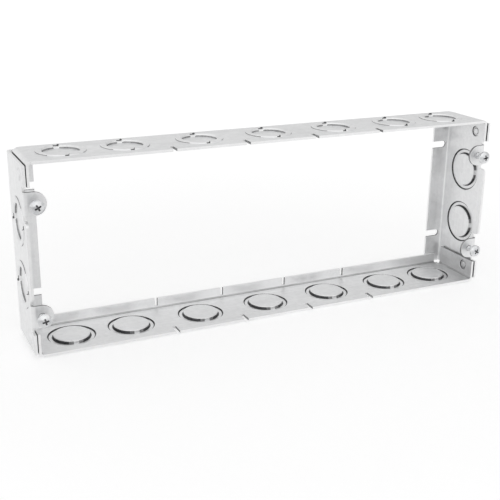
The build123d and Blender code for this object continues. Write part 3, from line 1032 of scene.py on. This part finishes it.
screw_sizes = {
    "Head Radius": HEAD_RADIUS,
    "Head Rim": HEAD_RIM,
    "Head Crown": HEAD_CROWN,
    "Shank Radius": SHANK_RADIUS,
    "Shank Length": SHANK_LENGTH,
    "Thread Pitch": THREAD_PITCH,
    "Thread Depth": THREAD_DEPTH,
    "Recess Length": RECESS_LENGTH,
    "Recess Width": RECESS_WIDTH,
    "Recess Depth": RECESS_DEPTH,
    "Plating": screw_zinc,
    "Recess": painted_recess_shade,
}
screw_places = [(x, HEAD_SEAT_Y, z) for x in (-SCREW_X, SCREW_X) for z in SCREW_HEIGHTS]
screw_turns = [math.radians(angle) for angle in SCREW_TURNS]
screw_finishes = [screw_zinc, painted_recess_shade]
screw_work = bmesh.new()
take_in(screw_work, grown_mesh(cover_screw_tree(), screw_places, screw_sizes, screw_turns), screw_finishes)
screw_mesh = bpy.data.meshes.new("cover_screw_set")
screw_work.to_mesh(screw_mesh)
screw_work.free()
for finish in screw_finishes:
    screw_mesh.materials.append(finish)
screw_mesh.shade_smooth()
screw_mesh.set_sharp_from_angle(angle=SCREW_SHARP_ANGLE)
shown(screw_mesh, "cover_screw_set", "cover_screws")


# Floor, light and camera

FLOOR_HALF = 6.0
WHITE_REACH = (0.2, 1.6)
FLOOR_WHITE = (0.40, 0.72)
FRONT_REACH = (-0.12, 0.02)
FRONT_GLOW = (0.0, 0.32)
DEPTH_REACH = (-0.3, 0.1)
BACK_GLOW = 0.41
ROOM_LEVEL = 0.86
ROOM_TO_RIGHT = -0.11
ROOM_TO_BACK = -0.05
ROOM_LIGHT = 0.62


def pale_floor():
    """Pale floor that shows as white and keeps the ring's soft shadow.

    In the ring's reflections it glows behind the ring, less in front of it, and least at the front left.
    """
    quarters = [(-1, -1), (1, -1), (1, 1), (-1, 1)]
    mesh = bpy.data.meshes.new("pale_floor")
    mesh.from_pydata([(x * FLOOR_HALF, y * FLOOR_HALF, 0) for x, y in quarters], [], [(0, 1, 2, 3)])
    material = bpy.data.materials.new("pale_floor")
    material.use_nodes = True
    tree = material.node_tree
    shader = tree.nodes["Principled BSDF"]
    shader.inputs["Base Color"].default_value = (0.86, 0.86, 0.86, 1)
    shader.inputs["Roughness"].default_value = 0.9
    shader.inputs["Specular IOR Level"].default_value = 0.0
    rays = add_node(tree, "ShaderNodeLightPath").outputs
    place = add_node(tree, "ShaderNodeTexCoord").outputs["Object"]
    spot = parts(tree, place)
    far = add_node(tree, "ShaderNodeVectorMath", {0: place}, operation="LENGTH").outputs["Value"]
    white = ranged(tree, far, *WHITE_REACH, *FLOOR_WHITE)
    front = ranged(tree, spot[0], *FRONT_REACH, *FRONT_GLOW)
    mirrored = ranged(tree, spot[1], *DEPTH_REACH, front, BACK_GLOW)
    seen = weighed(tree, 0.0, (rays["Is Camera Ray"], white), (rays["Is Glossy Ray"], mirrored))
    glow = add_node(tree, "ShaderNodeEmission", {"Color": (1, 1, 1, 1), "Strength": seen})
    both = add_node(tree, "ShaderNodeAddShader", {0: shader.outputs[0], 1: glow.outputs[0]})
    tree.links.new(both.outputs[0], tree.nodes["Material Output"].inputs["Surface"])
    mesh.materials.append(material)
    floor = in_scene("pale_floor", mesh)


def studio_world():
    """Soft white room: it shows white and lights the ring at a plain level.

    In the ring's reflections it is a little brighter towards the front left.
    """
    world = bpy.data.worlds.new("studio")
    world.use_nodes = True
    tree = world.node_tree
    rays = add_node(tree, "ShaderNodeLightPath").outputs
    towards = parts(tree, add_node(tree, "ShaderNodeTexCoord").outputs["Generated"])
    room = weighed(tree, ROOM_LEVEL, (towards[0], ROOM_TO_RIGHT), (towards[1], ROOM_TO_BACK))
    mirrored = calc(tree, "MAXIMUM", rays["Is Glossy Ray"], rays["Is Transmission Ray"])
    strength = mixed(tree, mirrored, ROOM_LIGHT, room)
    strength = mixed(tree, rays["Is Camera Ray"], strength, 1.0)
    background = tree.nodes["Background"]
    background.inputs["Color"].default_value = (1, 1, 1, 1)
    tree.links.new(strength, background.inputs["Strength"])
    scene.world = world


def soft_lamp(name, place, size, power):
    """Large soft lamp aimed at the middle of the ring."""
    lamp = bpy.data.lights.new(name, "AREA")
    lamp.shape = "RECTANGLE"
    lamp.size, lamp.size_y = size
    lamp.energy = power
    holder = in_scene(name, lamp)
    holder.location = place
    holder.rotation_mode = "QUATERNION"
    holder.rotation_quaternion = (Vector((0, 0, MIDDLE_Z)) - Vector(place)).to_track_quat("-Z", "Y")


def photo_camera(azimuth, elevation, distance, aim, lens, roll):
    """Camera at the photograph's viewing angle.

    Azimuth is seen from above, from the front towards the right.
    """
    data = bpy.data.cameras.new("photo_camera")
    data.sensor_width = 36.0
    data.lens = lens
    a, e = math.radians(azimuth), math.radians(elevation)
    back = Vector((math.sin(a) * math.cos(e), -math.cos(a) * math.cos(e), math.sin(e)))
    level = (-back).to_track_quat("-Z", "Y")
    camera = in_scene("photo_camera", data)
    camera.location = Vector(aim) + back * distance
    camera.rotation_mode = "QUATERNION"
    camera.rotation_quaternion = level @ Matrix.Rotation(math.radians(roll), 3, "Z").to_quaternion()
    scene.camera = camera


pale_floor()
studio_world()
soft_lamp("key_lamp", place=(-0.8, -1.0, 1.2), size=(2.4, 2.4), power=1.4)
soft_lamp("front_lamp", place=(0.05, -1.1, 0.65), size=(2.6, 1.2), power=2.2)
photo_camera(-25.5, 19.2, distance=0.57, aim=(-0.01273, 0.0, 0.04086), lens=64.51, roll=0.7)
scene.view_settings.view_transform = "Standard"
